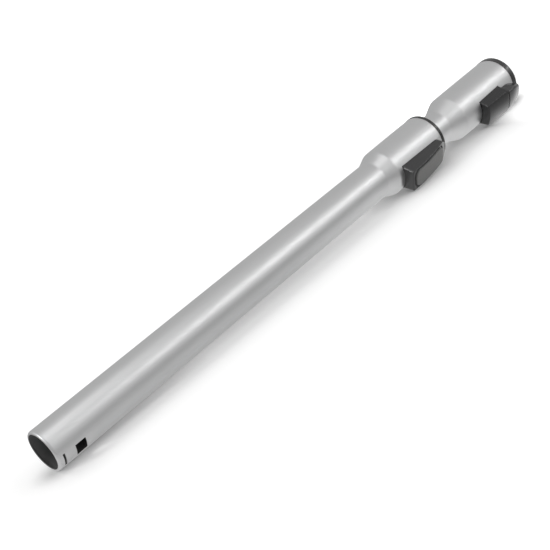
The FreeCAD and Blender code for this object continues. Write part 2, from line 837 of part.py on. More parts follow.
def make_lock_key():
    key = crowned_plate("key_moulding", "-(key_drop + key_plate)", "-key_drop", "0")
    hub = [
        ("key_pivot_place - hub_radius", f"-({KEY_UNDER} - key_hub_drop)"),
        ("key_pivot_place + hub_radius", f"-({KEY_UNDER} - key_hub_drop)"),
        ("key_pivot_place + hub_radius", "hub_radius - key_pivot_reach", "hub_radius - hub_flat"),
        ("key_pivot_place - hub_radius", "hub_radius - key_pivot_reach", "hub_radius - hub_flat"),
    ]
    pad(outline(key, "key_hub", "XY_Plane", hub), "2 * (key_half - hub_inset)", both=True)
    holder = box_loop(
        "pawl_place - pawl_thickness / 2 - holder_wall",
        "pawl_place + pawl_thickness / 2 + holder_wall",
        f"-({KEY_UNDER} + rooting)",
        "-key_holder_reach",
    )
    pad(outline(key, "pawl_holder", "XY_Plane", holder), "2 * holder_half", both=True)
    over_spring = ("lock_spring_place", "0")
    seat = circle(key, "key_spring_seat", "XZ_Plane", *over_spring, "seat_radius", "seat_reach")
    pad(seat, "seat_height")
    post = circle(key, "key_post", "XZ_Plane", *over_spring, "post_radius", "seat_reach - post_height")
    pad(post, "post_height + rooting")
    slot = box_loop(
        "pawl_place - pawl_thickness / 2 - turn_gap",
        "pawl_place + pawl_thickness / 2 + turn_gap",
        "-pawl_top",
        "overrun - key_holder_reach",
    )
    pocket(outline(key, "pawl_slot", "XY_Plane", slot), "2 * (pawl_half + turn_gap)", both=True)
    cross = cross_hole(key, "pawl_pin_hole", "pawl_place", "key_cross_reach")
    pocket(cross, "through", both=True)
    pivot = ("key_pivot_place", "-key_pivot_reach")
    hole = circle(key, "key_pivot_hole", "XY_Plane", *pivot, "pin_radius + turn_gap")
    pocket(hole, "through", both=True)
    recess = crowned_plate("pad_recess_form", "-(key_drop + pad_recess)", "pad_proud", "pad_border")
    return cut("lock_key", key, recess)


def make_key_pad():
    plate = crowned_plate("key_pad", "-(key_drop + pad_recess)", "pad_proud", "pad_border + seat_gap")
    rounded(plate.Tip, "pad_round", lambda edge, middle: on_face(middle, "pad_proud"))
    return plate


def make_lock_pawl():
    pawl = body("lock_pawl")
    tip = f"-({NOTCH_FLOOR_RADIUS} + pawl_floor_gap)"
    loop = [
        ("pawl_place - pawl_thickness / 2", "-pawl_top"),
        ("pawl_place + pawl_thickness / 2", "-pawl_top"),
        ("pawl_place + pawl_thickness / 2", "-(slide_radius + pawl_taper_gap)"),
        ("pawl_place + pawl_tip / 2", tip, "pawl_tip_bend"),
        ("pawl_place - pawl_tip / 2", tip, "pawl_tip_bend"),
        ("pawl_place - pawl_thickness / 2", "-(slide_radius + pawl_taper_gap)"),
    ]
    pad(outline(pawl, "pawl_side", "XY_Plane", loop), "2 * pawl_half", both=True)
    pocket(cross_hole(pawl, "pawl_hole", "pawl_place", "key_cross_reach"), "through", both=True)
    return pawl


def make_spring(name, place, low, high, turns):
    """A round-wire coil spring that stands on the reach low and ends at the reach high."""
    path = doc.addObject("Part::Helix", name + "_path")
    tie(path, "Radius", "spring_radius")
    tie(path, "Height", f"({high}) - ({low}) - 2 * wire_radius")
    tie(path, "Pitch", f"(({high}) - ({low}) - 2 * wire_radius) / {turns}")
    path.Placement = FreeCAD.Placement(FreeCAD.Vector(), FreeCAD.Rotation(FreeCAD.Vector(1, 0, 0), 90))
    wire = doc.addObject("Part::Circle", name + "_wire")
    tie(wire, "Radius", "wire_radius")
    path.setExpression("Placement.Base.x", bound(place))
    path.setExpression("Placement.Base.y", bound(f"-({low} + wire_radius)"))
    wire.setExpression("Placement.Base.x", bound(f"{place} + spring_radius"))
    wire.setExpression("Placement.Base.y", bound(f"-({low} + wire_radius)"))
    coil = doc.addObject("Part::Sweep", name)
    coil.Sections = [wire]
    coil.Spine = path
    coil.Solid = True
    coil.Frenet = True
    coil.Label = name
    doc.recompute()
    return coil


# Socket sleeve: liner, end ring and nose in one moulding
def make_socket_sleeve():
    sleeve = body("socket_sleeve")
    taper = f"(socket_rim_radius - socket_radius) / (socket_end - {SOCKET_SHOULDER})"
    seat = "socket_rim_radius - slide_wall - seat_gap"
    flange = "socket_radius - slide_wall - seat_gap"
    relief_start = "latch_place - relief_back"
    relief_end = "nose_start"
    relief = "bore_radius + relief_depth"
    seal_end = "shoulder_place + seal_length"
    section = [
        ("flange_start", "shoulder_radius"),
        ("flange_start", flange),
        ("flange_start + flange_length", flange),
        ("flange_start + flange_length", "barrel_radius"),
        ("socket_end - seat_length", "barrel_radius"),
        ("socket_end - seat_length", f"{seat} - seat_length * {taper}"),
        ("socket_end", seat),
        ("socket_end", "end_ring_radius"),
        (END_RING_END, "end_ring_radius", "ring_round"),
        (END_RING_END, "bore_radius + mouth_chamfer"),
        (f"{END_RING_END} - mouth_chamfer", "bore_radius"),
        (relief_end, "bore_radius"),
        (relief_end, relief),
        (relief_start, relief),
        (relief_start, "bore_radius"),
        (seal_end, "bore_radius"),
        (seal_end, "bore_radius + seal_depth"),
        ("shoulder_place", "bore_radius + seal_depth"),
        ("shoulder_place", "shoulder_radius"),
    ]
    turned(outline(sleeve, "socket_section", "XY_Plane", section))
    root = "barrel_radius - barrel_rooting"
    block = outline(sleeve, "nose_plan", "XZ_Plane", both_sides(nose_plan("0")), offset=root)
    pad(block, f"nose_reach + overrun - ({root})")
    out = "nose_reach + nose_half"
    face = [
        ("nose_start - overrun", "nose_reach"),
        ("nose_shoulder", "nose_shoulder_reach", "nose_shoulder_bend"),
        ("nose_brow", "nose_brow_reach", "nose_brow_bend"),
        (END_RING_END, "nose_end_reach"),
        (f"{END_RING_END} + overrun", "nose_end_reach"),
        (f"{END_RING_END} + overrun", out),
        ("nose_start - overrun", out),
    ]
    shaped = turned(outline(sleeve, "nose_face", "XY_Plane", face), "Groove")
    face_reach = number("nose_end_reach")
    start = number("nose_start") - NEAR
    rounded(
        shaped,
        "nose_round",
        lambda edge, middle: math.hypot(middle.y, middle.z) > face_reach + 1
        and middle.x > start
        and edge.BoundBox.XLength > 1,
    )
    pivot = "button_pivot_place"
    ear = [
        (f"{pivot} - ear_radius", f"-({root})"),
        (f"{pivot} + ear_radius", f"-({root})"),
        (f"{pivot} + ear_radius", "-(button_pivot_reach + ear_radius)", "ear_radius - hub_flat"),
        (f"{pivot} - ear_radius", "-(button_pivot_reach + ear_radius)", "ear_radius - hub_flat"),
    ]
    pad(outline(sleeve, "ears", "XY_Plane", ear), "2 * ear_outside", both=True)
    between = box_loop(
        f"{pivot} - ear_radius - overrun",
        f"{pivot} + ear_radius + overrun",
        "-(button_pivot_reach + ear_radius + overrun)",
        "-barrel_radius",
    )
    pocket(outline(sleeve, "ear_gap", "XY_Plane", between), "2 * ear_inside", both=True)
    hole = circle(sleeve, "ear_hole", "XY_Plane", pivot, "-button_pivot_reach", "pin_radius + press_gap")
    pocket(hole, "through", both=True)
    window = box_loop(
        "latch_place - latch_window_half",
        "latch_place + latch_window_half",
        "-(latch_half + latch_window_gap)",
        "latch_half + latch_window_gap",
    )
    pocket(outline(sleeve, "latch_window", "XZ_Plane", window), "barrel_radius + overrun")
    post = circle(sleeve, "sleeve_post", "XZ_Plane", "release_spring_place", "0", "post_radius", root)
    pad(post, "barrel_rooting + post_height")
    return sleeve


def make_release_button():
    button = body("release_button")
    near = [
        ("-button_base", "button_root_half"),
        ("-button_top", "button_half"),
        ("-button_top", "-button_half"),
        ("-button_base", "-button_root_half"),
    ]
    far = [
        ("-button_base", "button_far_root_half"),
        ("-button_top", "button_far_half"),
        ("-button_top", "-button_far_half"),
        ("-button_base", "-button_far_root_half"),
    ]
    loft = button.newObject("PartDesign::AdditiveLoft", "button_loft")
    loft.Profile = outline(button, "button_near_section", "YZ_Plane", near, offset="button_start")
    loft.Sections = [outline(button, "button_far_section", "YZ_Plane", far, offset=BUTTON_END)]
    loft.Ruled = True
    doc.recompute()
    rise = "button_rise / button_length"
    out = "button_top + button_half"
    face = [
        ("button_start - overrun", f"button_reach - {rise} * overrun"),
        (f"{BUTTON_END} + overrun", f"button_far_reach + {rise} * overrun"),
        (f"{BUTTON_END} + overrun", out),
        ("button_start - overrun", out),
    ]
    shaped = turned(outline(button, "button_face", "XY_Plane", face), "Groove")
    start = number("button_start") + NEAR
    side = number("button_half") - 1
    shaped = rounded(
        shaped,
        "button_corner",
        lambda edge, middle: middle.x < start
        and abs(middle.z) > side
        and edge.BoundBox.YLength > UPRIGHT,
    )
    face_reach = number("button_reach - button_corner")
    end = number(BUTTON_END) - NEAR
    shaped = rounded(
        shaped,
        "button_round",
        lambda edge, middle: math.hypot(middle.y, middle.z) > face_reach and middle.x < end,
    )
    hollow = box_loop(
        "button_start + button_wall",
        f"{BUTTON_END} - button_wall",
        "button_wall - button_half",
        "button_half - button_wall",
    )
    pocket(outline(button, "button_hollow", "XZ_Plane", hollow), "button_roof")
    pivot = "button_pivot_place"
    inside_roof = "-(button_roof + rooting)"
    hub = [
        (f"{pivot} - button_hub", inside_roof),
        (f"{pivot} + button_hub", inside_roof),
        (f"{pivot} + button_hub", "button_hub - button_pivot_reach", "button_hub - hub_flat"),
        (f"{pivot} - button_hub", "button_hub - button_pivot_reach", "button_hub - hub_flat"),
    ]
    pad(outline(button, "button_rib", "XY_Plane", hub), "2 * (ear_inside - button_hub_inset)", both=True)
    holder = box_loop(
        "latch_place - latch_thickness / 2 - latch_wall",
        f"{BUTTON_END} - button_wall / 2",
        inside_roof,
        "-latch_holder_reach",
    )
    pad(outline(button, "latch_holder", "XY_Plane", holder), "2 * latch_holder_half", both=True)
    slot = box_loop(
        "latch_place - latch_thickness / 2 - turn_gap",
        "latch_place + latch_thickness / 2 + turn_gap",
        "-latch_top",
        "overrun - latch_holder_reach",
    )
    pocket(outline(button, "latch_slot", "XY_Plane", slot), "2 * (latch_half + turn_gap)", both=True)
    tip = "button_roof - post_height"
    post = circle(button, "button_post", "XZ_Plane", "release_spring_place", "0", "post_radius", tip)
    pad(post, "post_height + rooting")
    pivot_hole = ("button_pivot_hole", "XY_Plane", pivot, "-button_pivot_reach")
    hole = circle(button, *pivot_hole, "pin_radius + turn_gap")
    pocket(hole, "2 * ear_inside", both=True)
    cross = cross_hole(button, "latch_pin_hole", "latch_place", "latch_cross_reach")
    pocket(cross, "2 * (holder_half + overrun)", both=True)
    trim = box_loop("button_start - overrun", f"{BUTTON_END} + overrun", "0", "button_skirt")
    turned(outline(button, "button_trim", "XY_Plane", trim), "Groove")
    return button


def make_latch_plate():
    plate = body("latch_plate")
    tip = "-(bore_radius - latch_bite)"
    loop = [
        ("latch_place - latch_thickness / 2", "-latch_top"),
        ("latch_place + latch_thickness / 2", "-latch_top"),
        ("latch_place + latch_thickness / 2", tip, "latch_tip_bend"),
        ("latch_place - latch_thickness / 2", tip, "latch_corner"),
    ]
    pad(outline(plate, "latch_side", "XY_Plane", loop), "2 * latch_half", both=True)
    pocket(cross_hole(plate, "latch_hole", "latch_place", "latch_cross_reach"), "through", both=True)
    return plate


pieces = {
    "outer_tube": make_outer_tube(),
    "guide_sleeve": make_guide_sleeve(),
    "lock_housing": make_lock_housing(),
    "wiper_ring": make_ring(
        "wiper_ring", f"{GUIDE_END} + seat_gap", WIPER_END, "slide_radius + wiper_gap", "guide_radius"
    ),
    "lock_key": make_lock_key(),
    "key_pad": make_key_pad(),
    "lock_pawl": make_lock_pawl(),
    "pawl_pin": pin("pawl_pin", "cross_pin_radius", "holder_half", "pawl_place", "key_cross_reach"),
    "key_pin": pin("key_pin", "pin_radius", "pin_half", "key_pivot_place", "key_pivot_reach"),
    "lock_spring": make_spring(
        "lock_spring",
        "lock_spring_place",
        "guide_radius + seat_gap",
        "seat_reach - seat_gap",
        "lock_spring_turns",
    ),
    "inner_tube": make_inner_tube(),
    "upper_bearing_shell": make_bearing_shell("upper_bearing_shell", 1),
    "lower_bearing_shell": make_bearing_shell("lower_bearing_shell", -1),
    "socket_sleeve": make_socket_sleeve(),
    "socket_seal": make_ring(
        "socket_seal",
        "shoulder_place",
        "shoulder_place + seal_length",
        "bore_radius - seal_lip",
        "bore_radius + seal_depth",
    ),
    "release_button": make_release_button(),
    "latch_plate": make_latch_plate(),
    "latch_pin": pin("latch_pin", "cross_pin_radius", "holder_half", "latch_place", "latch_cross_reach"),
    "button_pin": pin("button_pin", "pin_radius", "ear_outside", "button_pivot_place", "button_pivot_reach"),
    "release_spring": make_spring(
        "release_spring",
        "release_spring_place",
        "barrel_radius + seat_gap",
        "button_roof - seat_gap",
        "release_spring_turns",
    ),
}

# The pieces are drawn with the buttons' plane level, and lie with it rolled to the floor
for piece in pieces.values():
    piece.Placement = FreeCAD.Placement(FreeCAD.Vector(), FreeCAD.Vector(1, 0, 0), 1)
    piece.setExpression("Placement.Rotation.Angle", bound("lie_angle"))

doc.recompute()
failed = [item.Name for item in doc.Objects if {"Invalid", "Error"} & set(item.State)]
for name, piece in pieces.items():
    if piece.Shape.isNull() or not piece.Shape.isValid() or len(piece.Shape.Solids) != 1:
        failed.append(name)
if failed:
    raise RuntimeError("these did not build: " + ", ".join(failed))

os.makedirs("parts", exist_ok=True)
for name, piece in pieces.items():
    piece.Shape.exportStep(f"parts/{name}.step")
    print(f"{name}: {piece.Shape.Volume:.1f} mm3, {len(piece.Shape.Faces)} faces")
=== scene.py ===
import json
import math
import bpy
from mathutils import Matrix, Vector

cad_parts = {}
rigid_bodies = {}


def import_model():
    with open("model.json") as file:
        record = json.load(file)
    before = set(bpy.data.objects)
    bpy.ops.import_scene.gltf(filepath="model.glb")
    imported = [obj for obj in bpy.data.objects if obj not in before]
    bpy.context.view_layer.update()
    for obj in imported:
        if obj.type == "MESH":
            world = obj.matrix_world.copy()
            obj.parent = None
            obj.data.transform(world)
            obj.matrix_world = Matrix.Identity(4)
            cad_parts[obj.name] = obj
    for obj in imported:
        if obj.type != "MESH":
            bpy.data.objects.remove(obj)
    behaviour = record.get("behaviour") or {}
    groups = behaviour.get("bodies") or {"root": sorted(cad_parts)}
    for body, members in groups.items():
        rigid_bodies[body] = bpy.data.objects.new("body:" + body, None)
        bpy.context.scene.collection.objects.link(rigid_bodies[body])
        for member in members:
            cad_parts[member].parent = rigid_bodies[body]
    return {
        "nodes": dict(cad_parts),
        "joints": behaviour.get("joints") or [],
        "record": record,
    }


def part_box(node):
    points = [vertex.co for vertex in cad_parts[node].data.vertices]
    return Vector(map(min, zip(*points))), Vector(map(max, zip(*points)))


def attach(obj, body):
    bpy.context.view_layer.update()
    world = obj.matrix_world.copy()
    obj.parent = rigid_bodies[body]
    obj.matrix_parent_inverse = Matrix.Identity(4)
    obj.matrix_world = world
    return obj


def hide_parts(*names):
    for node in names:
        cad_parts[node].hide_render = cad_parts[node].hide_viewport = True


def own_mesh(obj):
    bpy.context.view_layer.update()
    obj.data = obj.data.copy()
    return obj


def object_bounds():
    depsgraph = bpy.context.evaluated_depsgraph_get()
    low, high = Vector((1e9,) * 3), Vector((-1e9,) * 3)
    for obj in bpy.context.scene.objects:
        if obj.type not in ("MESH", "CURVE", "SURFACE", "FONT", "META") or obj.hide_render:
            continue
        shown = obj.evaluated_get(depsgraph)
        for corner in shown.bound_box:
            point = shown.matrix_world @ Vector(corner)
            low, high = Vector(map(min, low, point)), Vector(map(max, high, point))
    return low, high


# Telescopic vacuum wand on a white floor, seen as in the photograph.
# Metres and radians, in the CAD frame: +X along the tubes towards the handle end, +Z up.

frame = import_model()
cad_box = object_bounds()

# How far the wand is rolled about X from the level of its buttons, read from the lock key's pivot
key_axis = next(joint for joint in frame["joints"] if joint["name"] == "key_pivot")["axis"]
ROLL = math.atan2(-key_axis[1], key_axis[2])

# Camera, in a frame whose floor is level in the photograph and whose buttons point above that level
PHOTO_SIZE = 550
PHOTO_FOCAL = 1088.8
SENSOR_WIDTH = 36
PHOTO_ROLL = math.radians(7.7)
CAMERA_PLACE = Vector((-0.2391, -0.4165, 0.6316))
CAMERA_LOOK = Vector((0.5358, 0.4568, -0.7101))
CAMERA_RIGHT = Vector((0.6488, -0.7610, 0))
CAMERA_NEAR = 0.01
CAMERA_FAR = 100

# What the wand stands on: the lower tube's mouth and the first collar's ring
MOUTH_RADIUS = 0.0175
FLOOR_SIZE = 30
FLOOR_CLEARANCE = 0.0003

# World and key light, where 1 is white
WORLD_LIGHT = 0.45
WORLD_MIRRORED = 0.57
KEY_POWER = 0.9
KEY_HEIGHT = math.radians(50)
KEY_SPREAD = math.radians(55)

# The floor's glow for the camera, where 1 is white, and the spans in metres where it changes:
# by the distance from the wand, and along X where the plain tube hovers and the collars start
# a weaker glow close to the wand paints a contact shadow on the floor
NEAR_GLOW = 0.24
FAR_GLOW = 0.62
CONTACT_SPAN = (0.003, 0.02)
OPEN_SPAN = (0.02, 0.25)
HOVER_SPAN = (0.02, 0.15)
COLLAR_SPAN = (0.36, 0.4)
COLLAR_NARROWING = 0.5

# Beside the handle end a painted glow lifts the floor's shadow, so that the floor there is nearly free of
# shadow
END_GLOW = 0.5
END_START = (0.535, 0.56)
END_STOP = (0.6, 0.66)
END_CLEARING = (0.014, 0.024)

# The floor's glow for mirrors, a painted reflection: beside the wand, and in a strip before the handle end
# that lights the release button's face in reflection; mirrors also see the floor greyer, a painted darker
# reflection
MIRROR_GREY = 0.52
MIRROR_GLOW = 0.42
FAR_MIRROR_GLOW = 0.65
MIRROR_RISE = (0.25, 0.42)
MIRROR_FALL = (0.02, 0.07)
STRIP_GLOW = 0.9
STRIP_START = (0.53, 0.55)
STRIP_FRONT = (-0.042, -0.024)
STRIP_BACK = (-0.023, -0.019)

# What the noise textures' factor spreads over, and the two ends of a switch
NOISE_SPAN = (0.3, 0.7)
SWITCH = (0, 1)

# The tube's inside: duller bare steel, with a painted shade that darkens it over a depth from the mouth
INSIDE_SHADE_SPAN = (-0.001, 0.018)
INSIDE_DULLNESS = 0.2
INSIDE_METAL = 0.2
FACING_INWARD = 0.001

PLASTIC_EDGE = 0.0009
EDGE_SAMPLES = 6
PAD_CELLS = 1800


# Shader helpers
def new_material(name):
    """A material with a Principled shader; returns it with its node tree and that shader."""
    material = bpy.data.materials.new(name)
    material.use_nodes = True
    tree = material.node_tree
    return material, tree, tree.nodes["Principled BSDF"]


def add(tree, kind, **settings):
    node = tree.nodes.new("ShaderNode" + kind)
    for name, value in settings.items():
        setattr(node, name, value)
    return node


def link(tree, source, target):
    tree.links.new(source, target)


def place(tree, stretch=(1, 1, 1)):
    """The point in the CAD frame, in metres, with each axis stretched."""
    coordinates = add(tree, "TexCoord")
    mapping = add(tree, "Mapping")
    mapping.inputs["Scale"].default_value = stretch
    link(tree, coordinates.outputs["Object"], mapping.inputs["Vector"])
    return mapping.outputs["Vector"]


def place_on_axes(tree):
    """The point's X and Y in the CAD frame, in metres."""
    axes = add(tree, "SeparateXYZ")
    link(tree, place(tree), axes.inputs["Vector"])
    return axes.outputs["X"], axes.outputs["Y"]


def noise(tree, vector, scale, detail=2, roughness=0.5):
    texture = add(tree, "TexNoise")
    texture.inputs["Scale"].default_value = scale
    texture.inputs["Detail"].default_value = detail
    texture.inputs["Roughness"].default_value = roughness
    link(tree, vector, texture.inputs["Vector"])
    return texture.outputs["Fac"]


def between(tree, factor, low, high, span=NOISE_SPAN):
    """A number that runs from low to high as the factor runs over its span."""
    spread = add(tree, "MapRange")
    spread.inputs["From Min"].default_value = span[0]
    spread.inputs["From Max"].default_value = span[1]
    spread.inputs["To Min"].default_value = low
    spread.inputs["To Max"].default_value = high
    link(tree, factor, spread.inputs["Value"])
    return spread.outputs["Result"]


def shade(tree, factor, dark, light):
    """A colour between two by the factor."""
    mix = add(tree, "Mix", data_type="RGBA")
    mix.inputs["A"].default_value = (*dark, 1)
    mix.inputs["B"].default_value = (*light, 1)
    link(tree, factor, mix.inputs["Factor"])
    return mix.outputs["Result"]


def combined(tree, operation, first, second):
    """One number made of two by a sum, a product or the larger of them."""
    node = add(tree, "Math", operation=operation)
    link(tree, first, node.inputs[0])
    link(tree, second, node.inputs[1])
    return node.outputs["Value"]


def moved(tree, operation, vector, amount):
    """A vector after a step by a constant amount."""
    node = add(tree, "VectorMath", operation=operation)
    link(tree, vector, node.inputs[0])
    node.inputs[1].default_value = amount
    return node.outputs["Vector"]


def bump(tree, height, depth, strength=1.0, normal=None):
    """A bump of the given depth in metres."""
    relief = add(tree, "Bump")
    relief.inputs["Strength"].default_value = strength
    relief.inputs["Distance"].default_value = depth
    link(tree, height, relief.inputs["Height"])
    if normal:
        link(tree, normal, relief.inputs["Normal"])
    return relief.outputs["Normal"]


def soft_edge(tree):
    """The normal of edges that are broken by a small radius."""
    bevel = add(tree, "Bevel", samples=EDGE_SAMPLES)
    bevel.inputs["Radius"].default_value = PLASTIC_EDGE
    return bevel.outputs["Normal"]


def inward(tree):
    """1 where a tube's surface faces its axis, 0 where it faces out."""
    coordinates = add(tree, "TexCoord")
    across = moved(tree, "MULTIPLY", coordinates.outputs["Object"], (0, 1, 1))
    facing = add(tree, "VectorMath", operation="DOT_PRODUCT")
    link(tree, across, facing.inputs[0])
    link(tree, coordinates.outputs["Normal"], facing.inputs[1])
    below = add(tree, "Math", operation="LESS_THAN")
    below.inputs[1].default_value = FACING_INWARD
    link(tree, facing.outputs["Value"], below.inputs[0])
    return below.outputs["Value"]


# Materials
def steel_tube():
    """Satin plated sheet steel with fine scratches along the tube.

    Inside it is duller and darker, with a painted shade that darkens it further away from the mouth.
    """
    material, tree, shader = new_material("satin_steel_tube")
    grain = noise(tree, place(tree, (12, 1200, 1200)), scale=1, detail=4, roughness=0.6)
    patches = noise(tree, place(tree), scale=45, detail=3)
    inside = inward(tree)
    # painted shade: the inside's colour darkens with depth from the mouth, where little light reaches
    depth = between(tree, place_on_axes(tree)[0], 0, 1, INSIDE_SHADE_SPAN)
    colour = add(tree, "Mix", data_type="RGBA")
    link(tree, inside, colour.inputs["Factor"])
    link(tree, shade(tree, patches, (0.66, 0.663, 0.665), (0.7, 0.702, 0.704)), colour.inputs["A"])
    link(tree, shade(tree, depth, (0.2, 0.2, 0.2), (0.035, 0.035, 0.035)), colour.inputs["B"])
    link(tree, colour.outputs["Result"], shader.inputs["Base Color"])
    dull = add(tree, "Math", operation="MULTIPLY_ADD")
    dull.inputs[1].default_value = INSIDE_DULLNESS
    link(tree, inside, dull.inputs[0])
    link(tree, between(tree, grain, low=0.4, high=0.46), dull.inputs[2])
    link(tree, dull.outputs["Value"], shader.inputs["Roughness"])
    link(tree, bump(tree, grain, depth=0.000002), shader.inputs["Normal"])
    link(tree, between(tree, inside, 1, INSIDE_METAL, SWITCH), shader.inputs["Metallic"])
    return material


def machined_steel(name, tone, roughness):
    """Turned or stamped steel for the pins, springs and plates."""
    material, tree, shader = new_material(name)
    grain = noise(tree, place(tree, (900, 900, 5000)), scale=1, detail=3)
    link(tree, shade(tree, grain, (tone * 0.85,) * 3, (tone,) * 3), shader.inputs["Base Color"])
    link(tree, between(tree, grain, roughness, roughness + 0.12), shader.inputs["Roughness"])
    link(tree, bump(tree, grain, depth=0.000005), shader.inputs["Normal"])
    shader.inputs["Metallic"].default_value = 1
    return material


def moulded_plastic(name, dark, light, roughness, gloss, grain_size, grain_depth):
    """Moulded plastic with an eroded grain and edges rounded by a small radius in the shading."""
    material, tree, shader = new_material(name)
    grain = noise(tree, place(tree), scale=1 / grain_size, detail=3, roughness=0.65)
    clouds = noise(tree, place(tree), scale=60, detail=2)
    link(tree, shade(tree, clouds, dark, light), shader.inputs["Base Color"])
    link(tree, between(tree, grain, roughness - 0.04, roughness + 0.08), shader.inputs["Roughness"])
    link(tree, bump(tree, grain, grain_depth, normal=soft_edge(tree)), shader.inputs["Normal"])
    shader.inputs["Specular IOR Level"].default_value = gloss
    return material


def soft_pad():
    """Grey thermoplastic rubber with a leather-like grain."""
    material, tree, shader = new_material("soft_grey_pad")
    cells = add(tree, "TexVoronoi", feature="DISTANCE_TO_EDGE")
    cells.inputs["Scale"].default_value = PAD_CELLS
    link(tree, place(tree), cells.inputs["Vector"])
    clouds = noise(tree, place(tree), scale=900, detail=4, roughness=0.7)
    link(tree, shade(tree, clouds, (0.12, 0.12, 0.118), (0.24, 0.24, 0.236)), shader.inputs["Base Color"])
    link(tree, between(tree, clouds, low=0.5, high=0.62), shader.inputs["Roughness"])
    relief = bump(tree, cells.outputs["Distance"], depth=0.00006, strength=0.6, normal=soft_edge(tree))
    link(tree, relief, shader.inputs["Normal"])
    return material


def felt():
    """Pressed felt of the wiper ring."""
    material, tree, shader = new_material("wiper_felt")
    fibres = noise(tree, place(tree, (1, 3, 1)), scale=3500, detail=5, roughness=0.8)
    link(tree, shade(tree, fibres, (0.2, 0.19, 0.18), (0.42, 0.41, 0.39)), shader.inputs["Base Color"])
    link(tree, bump(tree, fibres, depth=0.0002), shader.inputs["Normal"])
    shader.inputs["Roughness"].default_value = 0.95
    shader.inputs["Sheen Weight"].default_value = 0.3
    return material


def seal_rubber():
    material, tree, shader = new_material("seal_rubber")
    grain = noise(tree, place(tree), scale=2200, detail=3)
    link(tree, shade(tree, grain, (0.02, 0.02, 0.02), (0.035, 0.035, 0.035)), shader.inputs["Base Color"])
    link(tree, between(tree, grain, low=0.5, high=0.65), shader.inputs["Roughness"])
    link(tree, bump(tree, grain, depth=0.00002), shader.inputs["Normal"])
    return material


# By the record's slot, or by the node for a piece with a finish of its own
FINISHES = {
    "steel_tube": steel_tube(),
    "steel_part": machined_steel("stamped_steel", tone=0.55, roughness=0.3),
    "spring_steel": machined_steel("spring_wire", tone=0.5, roughness=0.25),
    "black_plastic": moulded_plastic(
        "black_moulding",
        dark=(0.0095, 0.0095, 0.0098),
        light=(0.014, 0.014, 0.0144),
        roughness=0.2,
        gloss=0.85,
        grain_size=0.0006,
        grain_depth=0.000003,
    ),
    "release_button": moulded_plastic(
        "button_moulding",
        dark=(0.008, 0.008, 0.0083),
        light=(0.012, 0.012, 0.0124),
        roughness=0.2,
        gloss=0.6,
        grain_size=0.0006,
        grain_depth=0.000003,
    ),
    "bearing_plastic": moulded_plastic(
        "bearing_moulding",
        dark=(0.68, 0.67, 0.63),
        light=(0.74, 0.73, 0.7),
        roughness=0.45,
        gloss=0.5,
        grain_size=0.0006,
        grain_depth=0.00001,
    ),
    "soft_pad": soft_pad(),
    "seal_rubber": seal_rubber(),
    "felt": felt(),
}


def dress_nodes():
    """Every CAD node gets its own finish, or else that of its slot in the record."""
    for part in frame["record"]["subparts"]:
        mesh = frame["nodes"][part["node"]].data
        mesh.materials.clear()
        mesh.materials.append(FINISHES.get(part["node"], FINISHES[part["material_slot"]]))


def add_spring(joint):
    """A coil in the place of the joint's spring, which rides with the joint's parent while the spring
    itself is hidden.
    """
    spring = joint["deforming_nodes"][0]
    node = frame["nodes"][spring["node"]]
    coil = bpy.data.objects.new(f"{spring['node']}_coil", node.data.copy())
    bpy.context.scene.collection.objects.link(coil)
    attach(coil, joint["parent"])
    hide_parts(spring["node"])
    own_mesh(coil)


# Stage
def rolled(vector, angle):
    return Matrix.Rotation(angle, 3, "X") @ vector


def turned(right, up, back, middle):
    """The matrix of an object at a middle, whose X, Y and Z point along the three directions."""
    return Matrix.Translation(middle) @ Matrix((right, up, back)).transposed().to_4x4()


def add_camera():
    data = bpy.data.cameras.new("camera")
    data.sensor_width = SENSOR_WIDTH
    data.lens = PHOTO_FOCAL / PHOTO_SIZE * SENSOR_WIDTH
    data.clip_start = CAMERA_NEAR
    data.clip_end = CAMERA_FAR
    camera = bpy.data.objects.new("camera", data)
    bpy.context.scene.collection.objects.link(camera)
    turn = PHOTO_ROLL + ROLL
    look = rolled(CAMERA_LOOK, turn).normalized()
    right = rolled(CAMERA_RIGHT, turn)
    right = (right - look * right.dot(look)).normalized()
    camera.matrix_world = turned(right, right.cross(look), -look, rolled(CAMERA_PLACE, turn))
    bpy.context.scene.camera = camera


def from_wand(tree):
    """How far a point of the floor lies from the wand's middle line, in metres."""
    low, high = cad_box
    middle = (low.x + high.x) / 2
    coordinates = add(tree, "TexCoord")
    shifted = moved(tree, "SUBTRACT", coordinates.outputs["Object"], (middle, 0, 0))
    folded = add(tree, "VectorMath", operation="ABSOLUTE")
    link(tree, shifted, folded.inputs[0])
    past_end = moved(tree, "SUBTRACT", folded.outputs["Vector"], (high.x - middle, 0, 0))
    outside = moved(tree, "MAXIMUM", past_end, (0, 0, 0))
    length = add(tree, "VectorMath", operation="LENGTH")
    link(tree, moved(tree, "MULTIPLY", outside, (1, 1, 0)), length.inputs[0])
    return length.outputs["Value"]


def camera_glow(tree, distance, reach):
    """The floor's glow for the camera, weaker where the wand is close to the floor, which paints a contact
    shadow, and stronger beside the handle end, which paints that shadow away.
    """
    # painted contact shadow: the glow fades where the wand is close to the floor, less where the plain tube
    # hovers
    hovering = combined(
        tree,
        "MULTIPLY",
        between(tree, reach, 0, NEAR_GLOW, HOVER_SPAN),
        between(tree, reach, 1, 0, COLLAR_SPAN),
    )
    narrowed = combined(tree, "MULTIPLY", distance, between(tree, reach, 1, COLLAR_NARROWING, COLLAR_SPAN))
    near = combined(tree, "MAXIMUM", hovering, between(tree, narrowed, 0, NEAR_GLOW, CONTACT_SPAN))
    open_floor = between(tree, distance, 0, FAR_GLOW - NEAR_GLOW, OPEN_SPAN)
    # painted light beside the handle end, which clears the floor's shadow there
    end = combined(
        tree, "MULTIPLY", between(tree, reach, 0, 1, END_START), between(tree, reach, 1, 0, END_STOP)
    )
    beside_end = combined(tree, "MULTIPLY", end, between(tree, distance, 0, END_GLOW, END_CLEARING))
    return combined(tree, "ADD", near, combined(tree, "ADD", open_floor, beside_end))


